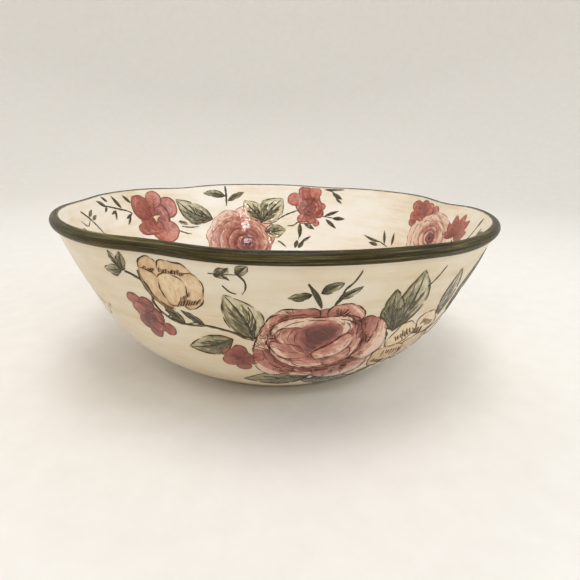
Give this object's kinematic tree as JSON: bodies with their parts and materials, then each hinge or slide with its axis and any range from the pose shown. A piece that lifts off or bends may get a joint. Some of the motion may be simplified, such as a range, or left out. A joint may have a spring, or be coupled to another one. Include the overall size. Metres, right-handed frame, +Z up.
{
  "type": "serving bowl",
  "caption": "Wide porcelain serving bowl with a softly lobed rim, an olive rolled edge, a ring foot and hand-painted roses and leaves inside and out; holds and serves food.",
  "frame": {"origin": "centre of the bowl on the plane that the foot ring stands on", "axes": "+Z up through the mouth; -Y is the side with the big rose, which faces the viewer; +X to the viewer's right"},
  "size_m": [0.296, 0.2997, 0.107],
  "materials": {
    "ivory_glaze": "glossy ivory glaze with warm tan clouding and faint brush streaks",
    "olive_rim_glaze": "glossy olive green glaze with brush streaks along the rim",
    "foot_glaze": "satin glaze, bare and slightly rough on the standing edge",
    "rose_paint": "dusty pink petal washes under clear glaze",
    "blossom_paint": "brick red petal washes under clear glaze",
    "pale_flower_paint": "pale yellow petal washes under clear glaze",
    "leaf_paint": "grey green leaf washes under clear glaze",
    "ink_line": "dark sepia line work under clear glaze"
  },
  "bodies": {
    "root": {"bowl_body": "ivory_glaze", "rim_bead": "olive_rim_glaze", "foot_ring": "foot_glaze"}
  },
  "joints": []
}
